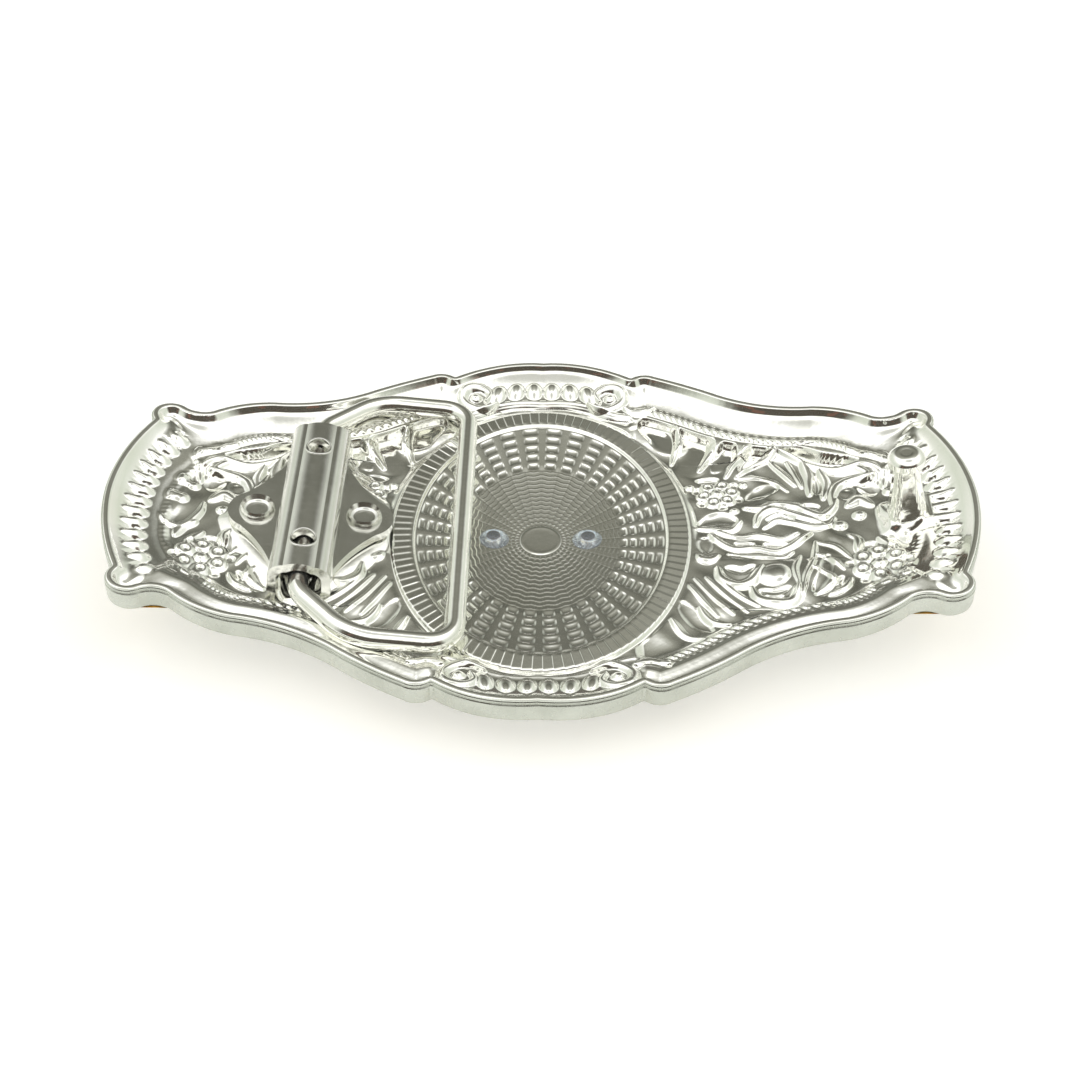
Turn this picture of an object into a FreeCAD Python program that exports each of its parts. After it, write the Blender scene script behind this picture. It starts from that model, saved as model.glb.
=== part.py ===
"""Curved oval belt buckle, lying on its front with its back upward.

+X runs along the buckle towards the belt hook, +Y across it, +Z up. The origin is on the surface
that the buckle rests on, under the middle of its box. All sizes are in millimetres.
"""

import FreeCAD, Part

import math
import os

from FreeCAD import Matrix, Placement, Rotation, Vector

# Plate: one shallow tray, bent to a cylinder about Y
RIM_Z = 7.5                 # height of the rim's back face at the middle of the buckle
BEND_RADIUS = 310.0         # radius that the rim's back face is bent to
RIM_HEIGHT = 3.0            # height of the outer wall
RIM_LIP = 1.3               # width of the rim's narrow back face
BAND_DEPTH = 1.6            # depth of the border band behind the rim
BAND_WIDTH = 4.8            # from the outline to the edge of the panel
PANEL_DEPTH = 3.4           # depth of the panel floor
WALL = 1.3                  # thickness of the casting
SEAM = 0.2                  # overlap of two solids that are fused into one casting

# Outline of one quarter: arcs from the middle of the long side round to the end of the buckle.
# Each arc is a point on the way and the point where it stops.
OUTLINE_START = (0.0, 31.6)
OUTLINE_ARCS = [
    ((6.3, 31.05), (11.5, 28.5)),       # bowed middle, as far as its notch
    ((12.8, 29.15), (14.6, 28.8)),      # small shoulder beside the notch
    ((18.0, 27.05), (22.0, 24.6)),
    ((27.8, 21.6), (34.1, 20.4)),       # long hollow sweep
    ((38.4, 19.1), (41.4, 17.15)),
    ((43.0, 16.75), (44.6, 17.3)),      # valley before the corner knob
    ((47.6, 17.35), (48.2, 13.9)),      # corner knob
    ((50.45, 7.6), (51.4, 0.0)),        # bowed end
]

# Medallion: oval ring round a dished floor
RING_A, RING_B = 18.1, 24.4     # outer half widths along X and Y
DISH_A, DISH_B = 15.0, 21.1     # inner half widths
RING_TOP = 5.2                  # height of the ring's face
DISH_LOW = 3.67                 # lowest point of the dish
DISH_RISE = 1.4                 # how far the dish floor climbs by its edge
FRONT_RISE = 1.0                # and how far the front under it climbs by the ring's edge
DISH_SPREAD = 3.0               # half axis of the dish's ellipsoid over its half width

# Hinge bracket: sheet metal with an arched channel, parallel to the bent rim where it sits
HINGE_X = -27.4
EAR_TOP_Z = 7.6
SHEET = 1.0
CHANNEL_R = 3.6             # the channel's half width, and its height over the ears
CHANNEL_HALF = 13.4         # half its length
CHANNEL_ARCH = 0.4          # how much its top is crowned
CHANNEL_CORNER = 1.8        # its shoulders' radius
CHANNEL_INNER_CORNER = 1.2
RIVET_SPACING = 12.7
EAR_END_R = 3.5
EAR_LEAVE = 62.0            # degrees round the ear's end where its hollow side begins
EAR_HOLLOW = (1.5, 6.7)     # middle of the hollow side: out from the channel, along it
EAR_ROOT = (-0.6, 11.6)     # where the hollow side meets the channel, measured alike
STAKE_HOLE_R = 1.5
STAKE_HOLE_Y = 8.6

# Rivets
RIVET_SHANK_R = 1.3
RIVET_HEAD_R = 2.15
RIVET_HEAD_H = 0.85
RIVET_CUP_R = 1.6
RIVET_CREST_SIDE = 0.1      # how far the head's widest round stands inside its radius
RIVET_LAND = 0.12
RIVET_LENGTH = 2.6
BOSS_R = 2.1
BOSS_H = 1.8

# Bail: one bent wire whose two ends turn in the channel
WIRE_R = 1.2
AXIS_H = 1.2                # height of the wire's axis over the ears' top face
BAIL_DROP = 1.2             # degrees that the loop lies below the bracket's plane
BAIL_REACH = 18.0           # from the hinge axis to the bar's axis
BAIL_HALF = 21.86           # from the middle to each arm's axis
BAIL_CORNER_R = 3.2
BAIL_ELBOW_R = 3.4
BAIL_SWEEP_R = 7.5
BAIL_END_GAP = 6.4          # between the two ends inside the channel
BAIL_LEAVE_Y = 15.2         # where the two straight runs of each elbow would cross
BAIL_SPLAY = 44.0           # degrees between the channel and the slanted run
SADDLE_GAP = 0.06           # between the wire and the plate's rest under it
SADDLE_HALF_X = 1.9
SADDLE_HALF_Y = 1.6
SADDLE_Y = 10.2
SADDLE_FOOT = 3.0           # how far the rest goes down into the casting

# Belt hook: tapered post with a domed head, square to the bent plate
HOOK_X = 43.7               # where its foot stands
HOOK_HEIGHT = 10.35         # from the panel floor to the top of the head
HOOK_ROOT = 0.5             # how far the post's tool solid starts under the panel floor
HOOK_FOOT = (5.7, 5.2, 1.5)     # along X, along Y, corner radius
HOOK_FLARE = (4.7, 4.2, 1.3)
HOOK_FLARE_H = 1.0
HOOK_NECK = (2.7, 2.5, 0.8)
HOOK_NECK_H = 8.6
HOOK_HEAD_R = 2.2
HOOK_HEAD_LAND = 0.8
HOOK_DOME = 0.7
HOOK_CROWN_R = 0.6          # flat in the middle of the dome
HOOK_HEAD_ROOT = 1.0        # how far the head's cone starts below its land

# Front emblem: five-pointed star in a ring, held by two pins through the dish
EMBLEM_RING_R = 13.4
EMBLEM_RING_W = 2.2
EMBLEM_TOOL_H = 8.0         # height of the emblem's tool solids, past the plate's front
STAR_POINTS = 5
STAR_R = 11.8
STAR_WAIST = 0.47           # the star's inner radius over its outer one
PIN_R = 0.8
PIN_SPACING = 11.4
PIN_ROOT = 0.5              # height where the pins start inside the emblem
PIN_PROUD = 0.45            # how far they stand out of the dish
DROP_R = 1.8
DROP_H = 0.85

REACH = 80.0                # half size of the tool solids, past every part
TOUCH = 0.01                # overlap where two solids would only share a wall


def v(x, y, z=0.0):
    return Vector(x, y, z)


def outline_wire():
    """The buckle's outline: one quarter's arcs, mirrored into the other three."""
    quarter = []
    start = OUTLINE_START
    for middle, stop in OUTLINE_ARCS:
        quarter.append((start, middle, stop))
        start = stop
    edges = []
    for sx, sy in ((1, 1), (1, -1), (-1, -1), (-1, 1)):
        for arc in quarter:
            edges.append(Part.Arc(*[v(sx * x, sy * y) for x, y in arc]).toShape())
    return Part.Wire(Part.__sortEdges__(edges))


def prism(wire, low=-5.0, high=30.0):
    moved = wire.copy()
    moved.translate(v(0, 0, low))
    return Part.Face(moved).extrude(v(0, 0, high - low))


def inset(wire, distance):
    return wire.makeOffset2D(-distance, 0, False, False, False)


def oval(a, b):
    """Closed wire of an ellipse with half widths a along X and b along Y."""
    curve = Part.Ellipse(v(0, b), v(a, 0), v(0, 0))
    return Part.Wire([curve.toShape()])


def above_bend(depth):
    """Everything above the rim's bent back face moved down by depth."""
    centre_z = RIM_Z + BEND_RADIUS
    return Part.makeCylinder(BEND_RADIUS + depth, 2 * REACH, v(0, -REACH, centre_z), v(0, 1, 0))


def ellipsoid_above(low_z, half_a, half_b, rise):
    """Solid whose underside is a dish: lowest at low_z, rise higher at half_a along X and half_b along Y."""
    k = DISH_SPREAD
    height = rise / (1 - math.sqrt(1 - 1 / k**2))
    ball = Part.makeSphere(1.0)
    scale = Matrix()
    scale.A11, scale.A22, scale.A33 = half_a * k, half_b * k, height
    solid = ball.transformGeometry(scale)
    solid.translate(v(0, 0, low_z + height))
    return solid


def floor_z(x, depth=PANEL_DEPTH):
    """Height of the bent surface at x, depth below the rim's back face."""
    radius = BEND_RADIUS + depth
    return RIM_Z + BEND_RADIUS - math.sqrt(radius**2 - x**2)


def square_to_plate(shape, x, z):
    """Moves a shape from its own frame, whose Z is square to the bent plate, to its place at x and z."""
    tilt = -math.degrees(math.asin(x / BEND_RADIUS))
    placed = shape.copy()
    placed.Placement = Placement(v(x, 0, z), Rotation(v(0, 1, 0), tilt)).multiply(placed.Placement)
    return placed


def in_bracket(shape):
    """Moves a shape from the bracket's own frame, where Z=0 is the ears' top face, to its place."""
    return square_to_plate(shape, HINGE_X, EAR_TOP_Z)


def rounded_rectangle(width, depth, radius, z):
    """Wire of a rectangle with round corners, centred on Z."""
    x, y = width / 2, depth / 2
    s = radius * (1 - math.sqrt(0.5))
    quarter = [(x - radius, y), (x - s, y - s), (x, y - radius)]
    edges = []
    for sx, sy in ((1, 1), (1, -1), (-1, -1), (-1, 1)):
        edges.append(Part.Arc(*[v(sx * px, sy * py, z) for px, py in quarter]).toShape())
    for side in (-1, 1):
        edges.append(Part.makeLine(v(side * x, y - radius, z), v(side * x, radius - y, z)))
        edges.append(Part.makeLine(v(x - radius, side * y, z), v(radius - x, side * y, z)))
    return Part.Wire(Part.__sortEdges__(edges))


def turned(edges):
    """Solid of revolution about Z of a closed profile in the XZ plane."""
    solid = Part.Face(Part.Wire(edges)).revolve(v(0, 0, 0), v(0, 0, 1), 360)
    if solid.Volume < 0:
        solid.reverse()
    return solid


def dome_front():
    """The space below the plate's front at the medallion."""
    return ellipsoid_above(DISH_LOW - WALL, RING_A, RING_B, FRONT_RISE)


def buckle_plate():
    outline = outline_wire()
    body = prism(outline).common(above_bend(RIM_HEIGHT)).cut(above_bend(0))
    panel_back = prism(inset(outline, BAND_WIDTH)).common(above_bend(PANEL_DEPTH))
    panel_front = prism(inset(outline, BAND_WIDTH - WALL)).common(above_bend(PANEL_DEPTH + WALL))
    body = body.fuse(panel_front.cut(above_bend(RIM_HEIGHT - SEAM)))
    body = body.cut(prism(inset(outline, RIM_LIP)).common(above_bend(BAND_DEPTH))).cut(panel_back)
    ring = prism(oval(RING_A, RING_B), high=RING_TOP)
    body = body.cut(prism(oval(RING_A - TOUCH, RING_B - TOUCH))).fuse(ring.common(dome_front()))
    dish = prism(oval(DISH_A, DISH_B)).common(ellipsoid_above(DISH_LOW, DISH_A, DISH_B, DISH_RISE))
    body = body.cut(dish)
    for side in (-1, 1):
        boss = Part.makeCylinder(BOSS_R, BOSS_H, v(side * RIVET_SPACING / 2, 0, -SHEET - BOSS_H))
        body = body.fuse(in_bracket(boss))
        rivet_foot = v(side * RIVET_SPACING / 2, 0, -RIVET_LENGTH)
        body = body.cut(in_bracket(Part.makeCylinder(RIVET_SHANK_R, RIVET_LENGTH, rivet_foot)))
        top = AXIS_H - WIRE_R - SADDLE_GAP
        saddle = Part.makeBox(
            2 * SADDLE_HALF_X, 2 * SADDLE_HALF_Y, top + SADDLE_FOOT,
            v(-SADDLE_HALF_X, side * SADDLE_Y - SADDLE_HALF_Y, -SADDLE_FOOT),
        )
        body = body.fuse(in_bracket(saddle))
        hole = Part.makeCylinder(PIN_R, REACH, v(side * PIN_SPACING / 2, 0, 0))
        body = body.cut(hole)
    return body.removeSplitter()


def hook_head():
    """Domed head with a straight land, widening upward from inside the post."""
    r, top = HOOK_HEAD_R, HOOK_HEIGHT
    land_high = top - HOOK_DOME
    land_low = land_high - HOOK_HEAD_LAND
    inner_r = HOOK_NECK[1] / 2 - SEAM / 2
    inner_z = land_low - HOOK_HEAD_ROOT
    flat = v(HOOK_CROWN_R, 0, top)
    corners = [flat, v(0, 0, top), v(0, 0, inner_z), v(inner_r, 0, inner_z)]
    corners += [v(r, 0, land_low), v(r, 0, land_high)]
    edges = [Part.makeLine(a, b) for a, b in zip(corners, corners[1:])]
    edges.append(Part.Arc(corners[-1], v(r * 0.8, 0, top - HOOK_DOME * 0.3), flat).toShape())
    return turned(edges)


def belt_hook():
    sections = [
        rounded_rectangle(*HOOK_FOOT, -HOOK_ROOT),
        rounded_rectangle(*HOOK_FLARE, HOOK_FLARE_H),
        rounded_rectangle(*HOOK_NECK, HOOK_NECK_H),
    ]
    hook = Part.makeLoft(sections, True, True).fuse(hook_head())
    hook = square_to_plate(hook, HOOK_X, floor_z(HOOK_X))
    return hook.common(above_bend(PANEL_DEPTH)).removeSplitter()


def ear_wire():
    """Plan of the bracket's two ears: round ends at the rivets, hollow sides towards the channel."""
    rivet_x = RIVET_SPACING / 2
    lean = math.radians(EAR_LEAVE)
    leave = (rivet_x + EAR_END_R * math.cos(lean), EAR_END_R * math.sin(lean))
    hollow = (CHANNEL_R + EAR_HOLLOW[0], EAR_HOLLOW[1])
    root = (CHANNEL_R + EAR_ROOT[0], EAR_ROOT[1])
    edges = []
    for sx, sy in ((1, 1), (-1, 1), (-1, -1), (1, -1)):
        side = [v(sx * x, sy * y) for x, y in (leave, hollow, root)]
        curve = Part.BSplineCurve()
        curve.interpolate(side)
        edges.append(curve.toShape())
    for sx in (1, -1):
        tip = v(sx * (rivet_x + EAR_END_R), 0)
        edges.append(Part.Arc(v(sx * leave[0], leave[1]), tip, v(sx * leave[0], -leave[1])).toShape())
    for sy in (1, -1):
        edges.append(Part.makeLine(v(-root[0], sy * root[1]), v(root[0], sy * root[1])))
    return Part.Wire(Part.__sortEdges__(edges))


def arched_bar(half_width, top, corner, half_length):
    """Bar along Y with round shoulders and a crowned top, its foot level with the ears' underside."""
    shoulder_x, shoulder_z = half_width - corner, top - CHANNEL_ARCH
    bend = corner * (1 - math.sqrt(0.5))
    y = -half_length
    edges = []
    for sx in (-1, 1):
        foot = v(sx * half_width, y, -SHEET)
        side = v(sx * half_width, y, shoulder_z - corner)
        apex = v(sx * (half_width - bend), y, shoulder_z - bend)
        edges.append(Part.makeLine(foot, side))
        edges.append(Part.Arc(side, apex, v(sx * shoulder_x, y, shoulder_z)).toShape())
    crown = Part.Arc(v(-shoulder_x, y, shoulder_z), v(0, y, top), v(shoulder_x, y, shoulder_z))
    edges.append(crown.toShape())
    edges.append(Part.makeLine(v(-half_width, y, -SHEET), v(half_width, y, -SHEET)))
    return Part.Face(Part.Wire(Part.__sortEdges__(edges))).extrude(v(0, 2 * half_length, 0))


def hinge_bracket():
    ears = Part.Face(ear_wire()).extrude(v(0, 0, -SHEET))
    body = ears.fuse(arched_bar(CHANNEL_R, CHANNEL_R, CHANNEL_CORNER, CHANNEL_HALF)).removeSplitter()
    inner = CHANNEL_R - SHEET
    body = body.cut(arched_bar(inner, inner, CHANNEL_INNER_CORNER, REACH))
    for side in (-1, 1):
        body = body.cut(Part.makeCylinder(STAKE_HOLE_R, CHANNEL_R, v(0, side * STAKE_HOLE_Y, SHEET)))
        body = body.cut(Part.makeCylinder(RIVET_SHANK_R, 2 * SHEET, v(side * RIVET_SPACING / 2, 0, -SHEET)))
    return body


def rivet(side):
    """Semi-tubular rivet: a rolled ring head with a cup in the middle."""
    r, h, cup = RIVET_HEAD_R, RIVET_HEAD_H, RIVET_CUP_R
    outer_low, outer_mid = v(r, 0, RIVET_LAND), v(r - RIVET_CREST_SIDE, 0, h * 0.62)
    top, floor = v((r + cup) / 2, 0, h), h * 0.12
    cup_mid, cup_edge, cup_low = v(cup * 1.1, 0, h * 0.72), v(cup, 0, h * 0.35), v(cup * 0.6, 0, floor)
    foot = -RIVET_LENGTH
    corners = [cup_low, v(0, 0, floor), v(0, 0, foot), v(RIVET_SHANK_R, 0, foot)]
    corners += [v(RIVET_SHANK_R, 0, 0), v(r, 0, 0), outer_low]
    edges = [Part.makeLine(a, b) for a, b in zip(corners, corners[1:])]
    edges.append(Part.Arc(outer_low, outer_mid, top).toShape())
    edges.append(Part.Arc(top, cup_mid, cup_edge).toShape())
    edges.append(Part.Arc(cup_edge, v(cup * 0.86, 0, h * 0.19), cup_low).toShape())
    solid = turned(edges)
    solid.translate(v(side * RIVET_SPACING / 2, 0, 0))
    return in_bracket(solid)


def rounded_path(points, radii):
    """Straight runs through points, joined by tangent arcs of the given radii."""
    edges = []
    start = points[0]
    for before, corner, after, radius in zip(points, points[1:], points[2:], radii):
        back = (before - corner).normalize()
        ahead = (after - corner).normalize()
        half = math.acos(max(-1, min(1, back.dot(ahead)))) / 2
        reach = radius / math.tan(half)
        enter, leave = corner + back * reach, corner + ahead * reach
        middle = (back + ahead).normalize()
        apex = corner + middle * (radius / math.sin(half) - radius)
        edges.append(Part.makeLine(start, enter))
        edges.append(Part.Arc(enter, apex, leave).toShape())
        start = leave
    edges.append(Part.makeLine(start, points[-1]))
    return Part.Wire(edges)


def bail():
    """The bent wire, in the frame of the hinge axis before it is placed."""
    slant = math.radians(BAIL_SPLAY)
    rise = BAIL_HALF - BAIL_LEAVE_Y
    knee_x = rise * math.tan(slant)
    half = [
        v(0, BAIL_END_GAP / 2), v(0, BAIL_LEAVE_Y), v(knee_x, BAIL_HALF), v(BAIL_REACH, BAIL_HALF),
    ]
    points = half + [v(p.x, -p.y) for p in reversed(half)]
    bends = [BAIL_ELBOW_R, BAIL_SWEEP_R, BAIL_CORNER_R]
    path = rounded_path(points, bends + bends[::-1])
    circle = Part.makeCircle(WIRE_R, points[0], v(0, 1, 0))
    solid = path.makePipeShell([Part.Wire([circle])], True, False)
    placed = solid.copy()
    placed.Placement = Placement(v(0, 0, AXIS_H), Rotation(v(0, 1, 0), BAIL_DROP))
    return in_bracket(placed)


def emblem_plan():
    hole = Part.makeCylinder(EMBLEM_RING_R - EMBLEM_RING_W, EMBLEM_TOOL_H)
    ring = Part.makeCylinder(EMBLEM_RING_R, EMBLEM_TOOL_H).cut(hole)
    points = []
    for i in range(2 * STAR_POINTS):
        radius = STAR_R if i % 2 == 0 else STAR_R * STAR_WAIST
        angle = math.radians(90 + 180 / STAR_POINTS * i)
        points.append(v(radius * math.cos(angle), radius * math.sin(angle)))
    star = Part.Face(Part.makePolygon(points + points[:1])).extrude(v(0, 0, EMBLEM_TOOL_H))
    return ring.fuse(star)


def front_emblem():
    body = emblem_plan().cut(dome_front())
    for side in (-1, 1):
        x = side * PIN_SPACING / 2
        top = DISH_LOW + DISH_RISE * (x / DISH_A) ** 2 + PIN_PROUD
        body = body.fuse(Part.makeCylinder(PIN_R, top - PIN_ROOT, v(x, 0, PIN_ROOT)))
    return body.removeSplitter()


def adhesive_drop(side):
    x = side * PIN_SPACING / 2
    seat = DISH_LOW + DISH_RISE * (x / DISH_A) ** 2
    radius = (DROP_R**2 + DROP_H**2) / (2 * DROP_H)
    ball = Part.makeSphere(radius, v(x, 0, seat + DROP_H - radius))
    drop = ball.common(ellipsoid_above(DISH_LOW, DISH_A, DISH_B, DISH_RISE))
    return drop.cut(Part.makeCylinder(PIN_R, seat + PIN_PROUD, v(x, 0, 0)))


def build():
    """Every sub-part by name."""
    return {
        "buckle_plate": buckle_plate(),
        "belt_hook": belt_hook(),
        "hinge_bracket": in_bracket(hinge_bracket()),
        "rivet_left": rivet(-1),
        "rivet_right": rivet(1),
        "bail": bail(),
        "front_emblem": front_emblem(),
        "adhesive_drop_left": adhesive_drop(-1),
        "adhesive_drop_right": adhesive_drop(1),
    }


def main():
    os.makedirs("parts", exist_ok=True)
    for name, shape in build().items():
        box = shape.optimalBoundingBox(False, False)
        print(f"{name}: {len(shape.Solids)} solid, valid {shape.isValid()}, {shape.Volume:.1f} mm3")
        print(f"    x {box.XMin:.2f}..{box.XMax:.2f} y {box.YMin:.2f}..{box.YMax:.2f}")
        print(f"    z {box.ZMin:.2f}..{box.ZMax:.2f}")
        shape.exportStep(f"parts/{name}.step")


main()
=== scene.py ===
import math

import bpy
import numpy as np
from mathutils import Matrix, Vector
from mathutils.bvhtree import BVHTree

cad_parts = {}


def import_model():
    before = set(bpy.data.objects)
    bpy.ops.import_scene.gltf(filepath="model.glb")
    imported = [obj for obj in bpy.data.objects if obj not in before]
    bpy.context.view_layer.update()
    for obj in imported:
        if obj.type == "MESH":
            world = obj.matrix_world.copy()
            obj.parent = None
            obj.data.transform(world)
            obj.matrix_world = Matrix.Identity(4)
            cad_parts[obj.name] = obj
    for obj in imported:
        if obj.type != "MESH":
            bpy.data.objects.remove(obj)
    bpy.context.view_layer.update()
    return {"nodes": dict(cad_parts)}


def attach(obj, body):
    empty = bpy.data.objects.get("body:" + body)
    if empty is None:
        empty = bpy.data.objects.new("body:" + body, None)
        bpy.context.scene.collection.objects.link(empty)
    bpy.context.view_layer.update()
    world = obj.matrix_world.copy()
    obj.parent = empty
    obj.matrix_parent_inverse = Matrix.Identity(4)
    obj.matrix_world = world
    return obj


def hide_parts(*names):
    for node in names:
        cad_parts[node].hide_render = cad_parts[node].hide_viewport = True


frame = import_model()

MM = 0.001

# ---------------------------------------------------------------------------
# The plate's measures in millimetres, as the frame has them
# ---------------------------------------------------------------------------
HALF_LENGTH, HALF_WIDTH = 51.4, 31.6
RIM_Z = 7.5                 # the rim's back face at the middle
BEND_RADIUS = 310.0
RING_A, RING_B = 18.1, 24.4     # the medallion ring's outer half widths
DISH_A, DISH_B = 15.0, 21.1     # and inner half widths
RING_Z = 5.3
RING_FOOT = 2.95            # depth under the rim of the ring's outer foot
DISH_LOW, DISH_EDGE = 3.67, 4.9
FRONT_LOW, FRONT_EDGE = 2.37, 3.2
CROWN = 0.45                # how much higher the rim stands at the middle of each side
ROPE_PITCH = 0.96
BEAD_PITCH = 2.34
SHEET = 1.0                 # thickness of the bracket
CHANNEL_TOP, CHANNEL_ARCH, CHANNEL_HALF = 3.6, 0.4, 1.8     # height, and how far it drops to its sides
STAKE_RADIUS, STAKE_Y, STAKE_LIP = 1.55, 8.6, 0.17
RIVET_X = (-33.72, -21.07)
BOSS_RADIUS = 2.1
SEAT_HALF = (9.6, 11.5)     # half widths of the raised seat under the bracket
HOOK_X = 43.7
HOOK_FOOT = (2.4, 2.1)      # half widths of the hook's foot
HOOK_FILLET, FILLET_REACH = 0.9, 1.6
EAR_UNDER_Z, EAR_SLOPE, EAR_X = 6.6, 0.0887, -27.4
AROUND = 1440               # points round the plate
WINDOW = 70                 # how many of them either way are searched for the nearest one
CORNER = 4.5                # how widely the border's inner corners are rounded
DISH_ROWS, RING_ROWS, PANEL_ROWS = 190, 26, 220     # rings of points across the back
FRONT_ROWS, FRONT_DISH_ROWS = 110, 40               # and across the front
BRIGHT_WALL_ROWS = 4        # rows of the wall in the back's polished nickel; the rows below get the rougher nickel darkened as painted shade
GOLD_WALL_ROWS = 2          # rows of the wall with the front's gold tone
GOLD_ROWS = 9               # rows of the front border with the gold tone
OUTLINE_START = (0.0, HALF_WIDTH)
OUTLINE_ARCS = [
    ((6.3, 31.05), (11.5, 28.5)),
    ((12.8, 29.15), (14.6, 28.8)),
    ((18.0, 27.05), (22.0, 24.6)),
    ((27.8, 21.6), (34.1, 20.4)),
    ((38.4, 19.1), (41.4, 17.15)),
    ((43.0, 16.75), (44.6, 17.3)),
    ((47.6, 17.35), (48.2, 13.9)),
    ((50.45, 7.6), (HALF_LENGTH, 0.0)),
]

# ---------------------------------------------------------------------------
# Small helpers
# ---------------------------------------------------------------------------


def smoothstep(low, high, x):
    t = np.clip((x - low) / (high - low), 0, 1)
    return t * t * (3 - 2 * t)


def smooth_line(points, steps=8):
    """Points along a smooth curve through the given ones."""
    p = np.array(points, float)
    p = np.vstack([2 * p[0] - p[1], p, 2 * p[-1] - p[-2]])
    t = (np.arange(steps) / steps)[:, None]
    out = []
    for a, b, c, d in zip(p, p[1:], p[2:], p[3:]):
        square, cube = 2 * a - 5 * b + 4 * c - d, 3 * b - a - 3 * c + d
        out.append(0.5 * (2 * b + (c - a) * t + square * t**2 + cube * t**3))
    return np.vstack(out + [p[-2:-1]])


def arc_points(a, b, c, count):
    """Points from a to c, without c, on the circle through a, b and c."""
    (ax, ay), (bx, by), (cx, cy) = a, b, c
    d = 2 * (ax * (by - cy) + bx * (cy - ay) + cx * (ay - by))
    aa, bb, cc = ax * ax + ay * ay, bx * bx + by * by, cx * cx + cy * cy
    ux = (aa * (by - cy) + bb * (cy - ay) + cc * (ay - by)) / d
    uy = (aa * (cx - bx) + bb * (ax - cx) + cc * (bx - ax)) / d
    radius = math.hypot(ax - ux, ay - uy)
    start, mid, stop = [math.atan2(y - uy, x - ux) for x, y in (a, b, c)]
    turn = (stop - start) % (2 * math.pi)
    if (mid - start) % (2 * math.pi) > turn:
        turn -= 2 * math.pi
    angles = start + turn * np.arange(count) / count
    return np.column_stack([ux + radius * np.cos(angles), uy + radius * np.sin(angles)])


def evenly(points, count):
    """A closed line resampled at equal steps."""
    closed = np.vstack([points, points[:1]])
    along = np.concatenate([[0], np.cumsum(np.hypot(*np.diff(closed, axis=0).T))])
    at = np.arange(count) * along[-1] / count
    x, y = np.interp(at, along, closed[:, 0]), np.interp(at, along, closed[:, 1])
    return np.column_stack([x, y]), along[-1]


def rim_z(x):
    return RIM_Z + BEND_RADIUS - np.sqrt(BEND_RADIUS**2 - x**2)


def new_object(name, vertices, faces, smooth=True):
    mesh = bpy.data.meshes.new(name)
    mesh.from_pydata([tuple(p) for p in vertices], [], faces)
    mesh.validate()
    obj = bpy.data.objects.new(name, mesh)
    bpy.context.collection.objects.link(obj)
    mesh.polygons.foreach_set("use_smooth", [smooth] * len(mesh.polygons))
    return obj


def grid_object(name, rings, row_materials):
    """Closed solid of equal rings of points in mm, (rows, count, 3), with a pole at each end."""
    rows, count, _ = rings.shape
    poles = np.array([rings[0].mean(0), rings[-1].mean(0)])
    points = np.vstack([rings.reshape(-1, 3), poles]) * MM
    i = np.arange(count)
    k = (i + 1) % count
    base = (np.arange(rows - 1) * count)[:, None]
    quads = np.stack([base + i, base + count + i, base + count + k, base + k], -1).reshape(-1, 4)
    first, last = rows * count, rows * count + 1
    top = (rows - 1) * count
    fans = np.vstack([
        np.column_stack([np.full(count, first), i, k]),
        np.column_stack([np.full(count, last), top + k, top + i]),
    ])
    mesh = bpy.data.meshes.new(name)
    mesh.vertices.add(len(points))
    mesh.vertices.foreach_set("co", points.ravel())
    corners = np.concatenate([quads.ravel(), fans.ravel()])
    starts = np.concatenate([np.arange(len(quads)) * 4, quads.size + np.arange(len(fans)) * 3])
    mesh.loops.add(len(corners))
    mesh.loops.foreach_set("vertex_index", corners)
    mesh.polygons.add(len(starts))
    mesh.polygons.foreach_set("loop_start", starts)
    mesh.polygons.foreach_set("use_smooth", np.ones(len(starts), bool))
    per_face = np.concatenate([
        np.repeat(row_materials[:-1], count),
        np.full(count, row_materials[0]),
        np.full(count, row_materials[-1]),
    ])
    mesh.polygons.foreach_set("material_index", per_face.astype(np.int32))
    mesh.update(calc_edges=True)
    obj = bpy.data.objects.new(name, mesh)
    bpy.context.collection.objects.link(obj)
    return obj


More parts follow.
